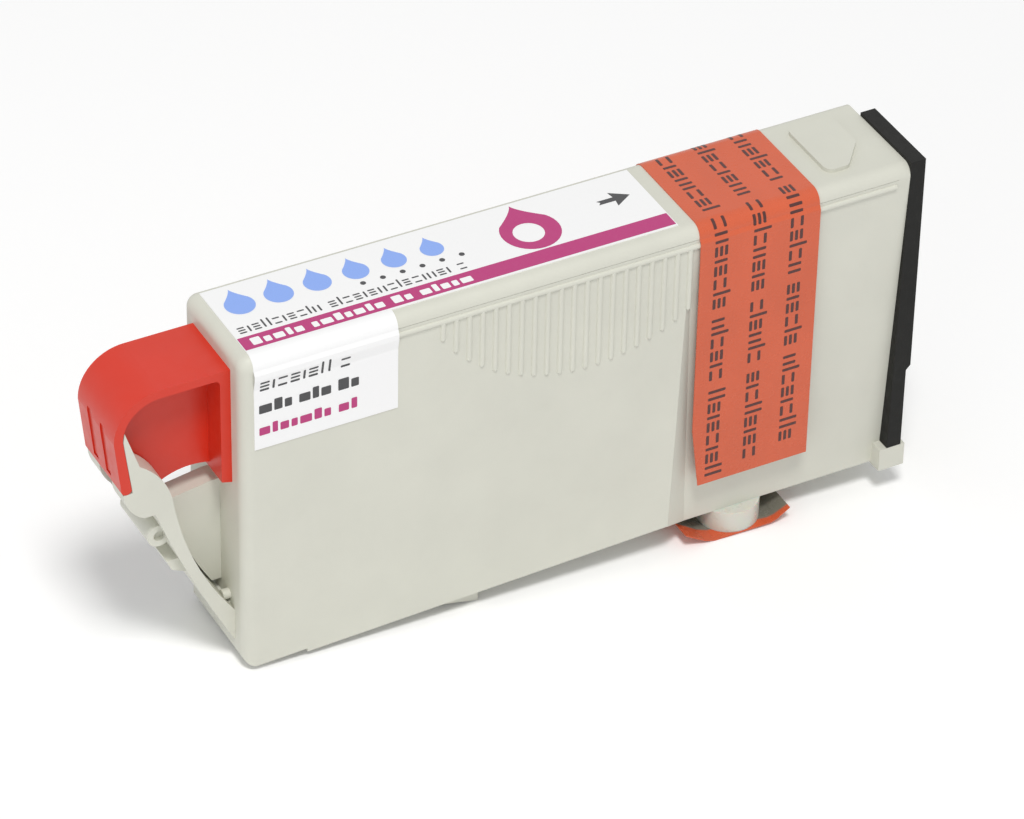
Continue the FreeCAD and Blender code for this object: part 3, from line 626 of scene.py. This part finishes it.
def label_print():
    """Print on the label, one piece for each ink."""
    magenta = ink_look("ink_magenta_look", srgb(183, 50, 118))
    white = ink_look("ink_white_look", srgb(246, 246, 246))
    blue = ink_look("ink_blue_look", srgb(140, 172, 240))
    dark = ink_look("ink_dark_look", srgb(66, 66, 68))
    print_piece("label_print_magenta", label, magenta_shapes(), magenta)
    row = label_row(start=2.4, end=26.5, low=top_s(2.1), height=1.15, gap=0.3, words=(5, 7, 2), size=1.1)
    piece = print_piece("label_print_white", label, row, white)
    for v in piece.data.vertices:
        v.co.z += WHITE_LIFT * MM
    print_piece("label_print_blue", label, small_drops(), blue)
    print_piece("label_print_dark", label, dark_shapes(), dark)


def tape_print():
    """Three rows of marks along the tape."""
    sheet = Sheet(tape_path())
    dark = ink_look("tape_ink_look", srgb(74, 34, 30), rough=0.38)
    shapes = []
    for row, middle in enumerate(TAPE_ROWS):
        marks = blocks(TAPE_ROW_START + TAPE_ROW_SHIFT * row, sheet.at[-1] - TAPE_END_GAP, 0.0,
                       height=TAPE_ROW_WIDE, gap=0.42, words=(8, 6, 8), size=1.2, shift=3 * row, stroke=0.34)
        low_x = LATCH_X + middle - TAPE_ROW_WIDE / 2
        shapes += [([(low_x + b, a) for a, b in outline], []) for outline, _ in marks]
    print_piece("tape_print_dark", sheet, shapes, dark)


# Floor, light and camera

def swap_for_rays(tree, rays, plain, seen, output):
    """Shows one shader to the named kinds of ray, and the plain one to all others."""
    path = tree.nodes.new("ShaderNodeLightPath")
    share = path.outputs[rays[0]]
    for ray in rays[1:]:
        larger = tree.nodes.new("ShaderNodeMath")
        larger.operation = "MAXIMUM"
        tree.links.new(share, larger.inputs[0])
        tree.links.new(path.outputs[ray], larger.inputs[1])
        share = larger.outputs[0]
    mix = tree.nodes.new("ShaderNodeMixShader")
    tree.links.new(share, mix.inputs["Fac"])
    tree.links.new(plain, mix.inputs[1])
    tree.links.new(seen, mix.inputs[2])
    tree.links.new(mix.outputs["Shader"], output.inputs["Surface"])


def floor_look():
    """White paper; the camera and glossy rays see it lighter than it lights the cartridge."""
    look = Look("floor_look")
    look.mottle(look.noise(scale=0.02, detail=2), srgb(252, 252, 253), dark=0.995, light=1.0)
    look.roughness(look.noise(scale=0.05), low=0.85, high=0.95)
    look.bump(look.noise(scale=1.5), distance=0.02, strength=0.3)
    look.set(Specular_IOR_Level=0.1)
    pale = look.tree.nodes.new("ShaderNodeBsdfDiffuse")
    pale.inputs["Color"].default_value = (FLOOR_SEEN, FLOOR_SEEN, FLOOR_SEEN, 1)
    swap_for_rays(look.tree, ("Is Camera Ray", "Is Glossy Ray"), look.bsdf.outputs["BSDF"],
                  pale.outputs["BSDF"], look.tree.nodes["Material Output"])
    return look


def floor():
    """Pale floor through the cartridge's two resting places, which are not level with each other."""
    tilt = math.atan2(FOOT_LOW[1] - OUTLET_LOW[1], OUTLET_LOW[0] - FOOT_LOW[0])
    bm = bmesh.new()
    bmesh.ops.create_grid(bm, x_segments=FLOOR_GRID, y_segments=FLOOR_GRID, size=FLOOR_HALF)
    turn = Matrix.Rotation(tilt, 4, "Y")
    place = Matrix.Translation(Vector((OUTLET_LOW[0] * MM, 0, (OUTLET_LOW[1] - FLOOR_GAP) * MM)))
    bmesh.ops.transform(bm, matrix=place @ turn, verts=bm.verts)
    mesh = bpy.data.meshes.new("floor")
    bm.to_mesh(mesh)
    bm.free()
    piece = bpy.data.objects.new("floor", mesh)
    bpy.context.scene.collection.objects.link(piece)
    mesh.materials.append(floor_look().mat)


def background(tree, colour, strength):
    node = tree.nodes.new("ShaderNodeBackground")
    node.inputs["Color"].default_value = colour
    node.inputs["Strength"].default_value = strength
    return node.outputs["Background"]


def world():
    """Dim even light, behind which the camera and reflections see plain white."""
    data = bpy.data.worlds.new("studio")
    bpy.context.scene.world = data
    data.use_nodes = True
    tree = data.node_tree
    tree.nodes.clear()
    light = background(tree, colour=(0.98, 0.99, 1.0, 1), strength=0.5)
    seen = background(tree, colour=(1, 1, 1, 1), strength=1.0)
    rays = ("Is Camera Ray", "Is Glossy Ray", "Is Transmission Ray")
    swap_for_rays(tree, rays, light, seen, tree.nodes.new("ShaderNodeOutputWorld"))


def lamp(name, place, size, power, colour):
    """Square area lamp aimed at the cartridge."""
    data = bpy.data.lights.new(name, "AREA")
    data.shape = "RECTANGLE"
    data.size = size
    data.size_y = size
    data.energy = power
    data.color = colour
    obj = bpy.data.objects.new(name, data)
    obj.location = place
    aim = Vector(LAMPS_AIM) - Vector(place)
    obj.rotation_euler = aim.to_track_quat("-Z", "Y").to_euler()
    bpy.context.scene.collection.objects.link(obj)


def camera():
    """The photograph's view."""
    data = bpy.data.cameras.new("camera")
    data.lens = CAMERA_LENS
    data.sensor_width = CAMERA_SENSOR
    data.clip_start = 0.01
    data.clip_end = 20
    obj = bpy.data.objects.new("camera", data)
    obj.location = CAMERA_AT
    turn = Vector(CAMERA_AHEAD).to_track_quat("-Z", "Y").to_matrix()
    roll = Matrix.Rotation(math.radians(CAMERA_ROLL_DEG), 3, "Z")
    obj.rotation_euler = (turn @ roll).to_euler()
    bpy.context.scene.collection.objects.link(obj)
    bpy.context.scene.camera = obj


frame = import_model()
for node_name, look in LOOKS.items():
    frame["nodes"][node_name].data.materials[0] = look.mat
label_print()
tape_print()
floor()
world()
lamp("key", place=(-0.13, -0.40, 0.91), size=0.22, power=5.0, colour=(1.0, 0.99, 0.975))
lamp("fill", place=(-0.85, -0.55, 0.28), size=0.7, power=1.3, colour=(1.0, 1.0, 1.0))
camera()
bpy.context.scene.view_settings.view_transform = "Standard"
